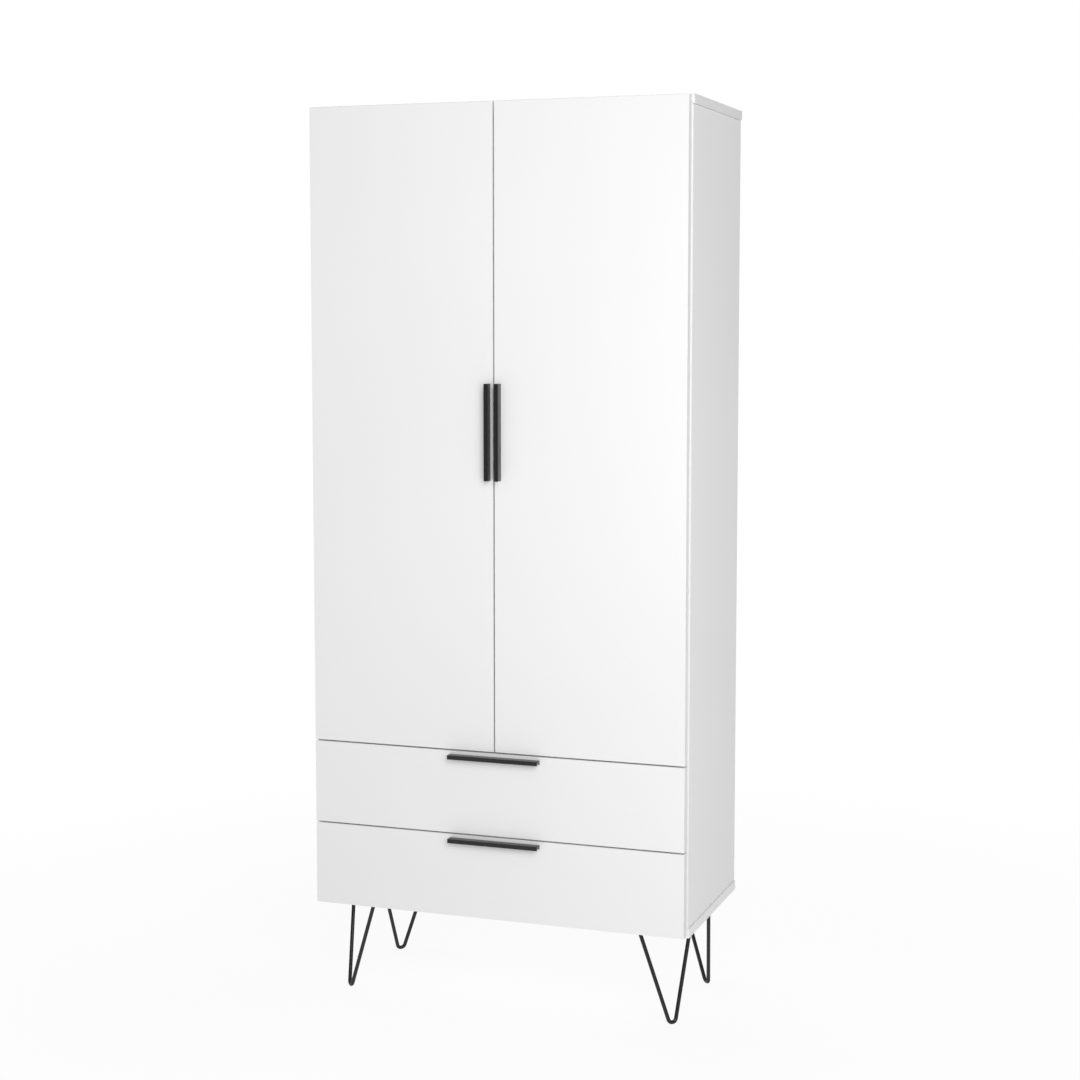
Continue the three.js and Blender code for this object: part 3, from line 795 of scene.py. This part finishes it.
def hinge(side, level):
    arm, cup = f"{side}_{level}_hinge_arm", f"{side}_{level}_hinge_cup"
    z, door = middle_of(arm).z, f"{side}_door"
    for node in (arm, f"{side}_{level}_hinge_link", cup):
        metalwork(node, nickel, SHEET_EASE)

    pin = [(inside(side, *ARM_PIN, z), (0, 0, 1))]
    fittings(f"{arm}_pin", pin, ARM_PIN_SHAPE, "carcass", zinc)
    pin = [(inside(side, *CUP_PIN, z), (0, 0, 1))]
    fittings(f"{cup}_pin", pin, CUP_PIN_SHAPE, door, zinc)

    heads = [(inside(side, *place, z), INWARDS[side]) for place in ADJUSTERS]
    screws(f"{arm}_adjusters", heads, "carcass", "adjuster")
    levels = (z - WING_SCREW_UP, z + WING_SCREW_UP)
    heads = [(inside(side, *WING_SCREW, level_z), INWARDS[side]) for level_z in levels]
    screws(f"{arm}_screws", heads, "carcass", "hinge_arm")
    levels = (z - EAR_SCREW_UP, z + EAR_SCREW_UP)
    heads = [(inside(side, *EAR_SCREW, level_z), (0, 1, 0)) for level_z in levels]
    screws(f"{cup}_screws", heads, door, "hinge_cup")


for side in SIDES:
    for level in LEVELS:
        hinge(side, level)


# ---- Rail, brackets, wall angles and runners ----

metalwork("hanging_rail", nickel, RAIL_EASE)
for side, sign in SIDES.items():
    bracket, angle = f"{side}_rail_bracket", f"{side}_wall_angle"
    metalwork(bracket, nickel, BRACKET_EASE)
    low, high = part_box(bracket)
    flange = high.x - BRACKET_FLANGE if sign > 0 else low.x + BRACKET_FLANGE
    at = Vector((flange, (low.y + high.y) / 2, (low.z + high.z) / 2))
    steps = (Vector((0, 0, -BRACKET_SCREW_UP)), Vector((0, 0, BRACKET_SCREW_UP)))
    heads = [(at + step, INWARDS[side]) for step in steps]
    screws(f"{bracket}_screws", heads, "carcass", "bracket")

    metalwork(angle, zinc, BRACKET_EASE)
    low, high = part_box(angle)
    at = Vector(((low.x + high.x) / 2, low.y, high.z - ANGLE_STEEL))
    heads = [(at + Vector((x, y, 0)), (0, 0, -1)) for x, y in ANGLE_SCREWS]
    screws(f"{angle}_screws", heads, "carcass", "angle")

    for drawer in DRAWERS:
        outer = f"{drawer}_{side}_outer_runner"
        metalwork(outer, zinc, SHEET_EASE)
        metalwork(f"{drawer}_{side}_inner_runner", zinc, SHEET_EASE)
        low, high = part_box(outer)
        web = high.x - RUNNER_STEEL if sign > 0 else low.x + RUNNER_STEEL
        at = Vector((web, low.y, (low.z + high.z) / 2))
        heads = [(at + Vector((0, back, 0)), INWARDS[side]) for back in RUNNER_SCREWS]
        screws(f"{outer}_screws", heads, "carcass", "runner")


# ---- Cam covers, bumpers, shelf pins and the seam strip ----

bottom_z, top_z = WALLS["right"][0].z, WALLS["right"][1].z
divider_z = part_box("divider_shelf")[0].z
for side in SIDES:
    rows = (bottom_z + CAM_FROM_END, top_z - CAM_FROM_END)
    covers = [(inside(side, 0, back, z), INWARDS[side]) for z in rows for back in CAMS_ALONG]
    covers += [(inside(side, CAM_FROM_END, back, divider_z), (0, 0, -1)) for back in CAMS_ALONG]
    fittings(f"{side}_cam_covers", covers, CAM_COVER, "carcass", white_plastic, count=COVER_SIDES)
    pins = [(inside(side, 0, back, pin_z), INWARDS[side]) for back in SHELF_PINS]
    fittings(f"{side}_shelf_pins", pins, SHELF_PIN_SHAPE, "carcass", nickel)

    low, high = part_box(f"{side}_door_panel")
    free_edge = low.x if side == "right" else high.x
    x = free_edge + SIDES[side] * DOOR_BUMPER
    levels = (low.z + DOOR_BUMPER_LOW, high.z - DOOR_BUMPER_HIGH)
    pads = [((x, high.y, z), (0, 1, 0)) for z in levels]
    fittings(f"{side}_door_bumpers", pads, BUMPER, f"{side}_door", clear_rubber)

for drawer in DRAWERS:
    low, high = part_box(f"{drawer}_front")
    from_end, from_edge = DRAWER_BUMPER
    pads = [
        ((sign * (high.x - from_end), high.y, z), (0, 1, 0))
        for sign in SIDES.values()
        for z in (low.z + from_edge, high.z - from_edge)
    ]
    fittings(f"{drawer}_bumpers", pads, BUMPER, drawer, clear_rubber)
    covers = []
    for side, sign in SIDES.items():
        low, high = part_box(f"{drawer}_{side}_side")
        face = low.x if sign > 0 else high.x
        for share in DRAWER_CAM_LEVELS:
            z = low.z + share * (high.z - low.z)
            covers.append((Vector((face, low.y + DRAWER_CAM, z)), INWARDS[side]))
    fittings(f"{drawer}_cam_covers", covers, CAM_COVER, drawer, white_plastic, count=COVER_SIDES)

seam_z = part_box("upper_back_board")[0].z
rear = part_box("upper_back_board")[1].y
strip = bmesh.new()
outline = [(y * MM, z * MM) for y, z in SEAM_STRIP]
verts = slab(strip, outline, WALL_X["left"] + STRIP_PLAY, WALL_X["right"] - STRIP_PLAY)
along_x = Matrix(((0, 0, 1, 0), (1, 0, 0, rear), (0, 1, 0, seam_z), (0, 0, 0, 1)))
bmesh.ops.transform(strip, matrix=along_x, verts=verts)
ease(strip, list(strip.edges), STRIP_EASE, METAL_STEPS)
piece("back_seam_strip", strip, [white_plastic], "carcass")


# ---- Floor, light and camera ----


def seen_or_lit(tree, seen, lit):
    """One strength for what the camera sees, and another for the light it gives."""
    path = tree.nodes.new("ShaderNodeLightPath")
    strength = tree.nodes.new("ShaderNodeMapRange")
    strength.inputs["To Min"].default_value = lit
    strength.inputs["To Max"].default_value = seen
    tree.links.new(path.outputs["Is Camera Ray"], strength.inputs["Value"])
    return strength.outputs["Result"]


def floor(seen, lit):
    """A round white floor that fades into the white background."""
    mesh = bmesh.new()
    bmesh.ops.create_circle(mesh, cap_ends=True, segments=FLOOR_SIDES, radius=FLOOR_RADIUS)
    data = bpy.data.meshes.new("floor")
    mesh.to_mesh(data)
    mesh.free()
    material = bpy.data.materials.new("floor_paper")
    material.use_nodes = True
    tree = material.node_tree
    tree.nodes.clear()
    place = tree.nodes.new("ShaderNodeTexCoord").outputs["Object"]
    length = tree.nodes.new("ShaderNodeVectorMath")
    length.operation = "LENGTH"
    tree.links.new(place, length.inputs[0])
    fade = tree.nodes.new("ShaderNodeMapRange")
    fade.interpolation_type = "SMOOTHSTEP"
    fade.inputs["From Min"].default_value = FLOOR_FADE[0]
    fade.inputs["From Max"].default_value = FLOOR_FADE[1]
    fade.inputs["To Min"].default_value = FLOOR_LEAST_GLOW
    tree.links.new(length.outputs["Value"], fade.inputs["Value"])
    paper = tree.nodes.new("ShaderNodeBsdfDiffuse")
    paper.inputs["Color"].default_value = (PAPER, PAPER, PAPER, 1)
    glow = tree.nodes.new("ShaderNodeEmission")
    glow.inputs["Color"].default_value = (1, 1, 1, 1)
    tree.links.new(seen_or_lit(tree, seen, lit), glow.inputs["Strength"])
    mix = tree.nodes.new("ShaderNodeMixShader")
    tree.links.new(fade.outputs["Result"], mix.inputs["Fac"])
    tree.links.new(paper.outputs["BSDF"], mix.inputs[1])
    tree.links.new(glow.outputs["Emission"], mix.inputs[2])
    output = tree.nodes.new("ShaderNodeOutputMaterial")
    tree.links.new(mix.outputs["Shader"], output.inputs["Surface"])
    data.materials.append(material)
    shown = bpy.data.objects.new("floor", data)
    bpy.context.scene.collection.objects.link(shown)


def sky(seen, lit):
    """A white background, and a dimmer even light from all round."""
    world = bpy.data.worlds.new("studio")
    bpy.context.scene.world = world
    world.use_nodes = True
    tree = world.node_tree
    shade = tree.nodes["Background"]
    shade.inputs["Color"].default_value = (1, 1, 1, 1)
    tree.links.new(seen_or_lit(tree, seen, lit), shade.inputs["Strength"])


def softbox(name, at, aim, side, power):
    light = bpy.data.lights.new(name, "AREA")
    light.shape = "RECTANGLE"
    light.size, light.size_y = side, side
    light.energy = power
    lamp = bpy.data.objects.new(name, light)
    lamp.location = at
    lamp.rotation_mode = "QUATERNION"
    lamp.rotation_quaternion = (Vector(aim) - Vector(at)).to_track_quat("-Z", "Y")
    bpy.context.scene.collection.objects.link(lamp)


def camera():
    turn, dip = math.radians(CAMERA_AZIMUTH), math.radians(CAMERA_PITCH)
    look = Vector((-math.sin(turn) * math.cos(dip), math.cos(turn) * math.cos(dip), -math.sin(dip)))
    data = bpy.data.cameras.new("camera")
    data.sensor_width = SENSOR
    data.lens = CAMERA_LENS
    data.shift_y = CAMERA_SHIFT_Y
    shown = bpy.data.objects.new("camera", data)
    shown.location = CAMERA_AT
    shown.rotation_mode = "QUATERNION"
    shown.rotation_quaternion = look.to_track_quat("-Z", "Y")
    bpy.context.scene.collection.objects.link(shown)
    bpy.context.scene.camera = shown


floor(WHITE, FLOOR_LIGHT)
sky(WHITE, SKY_LIGHT)
for name, setting in SOFTBOXES.items():
    softbox(name, *setting)
camera()
bpy.context.scene.view_settings.view_transform = "Standard"
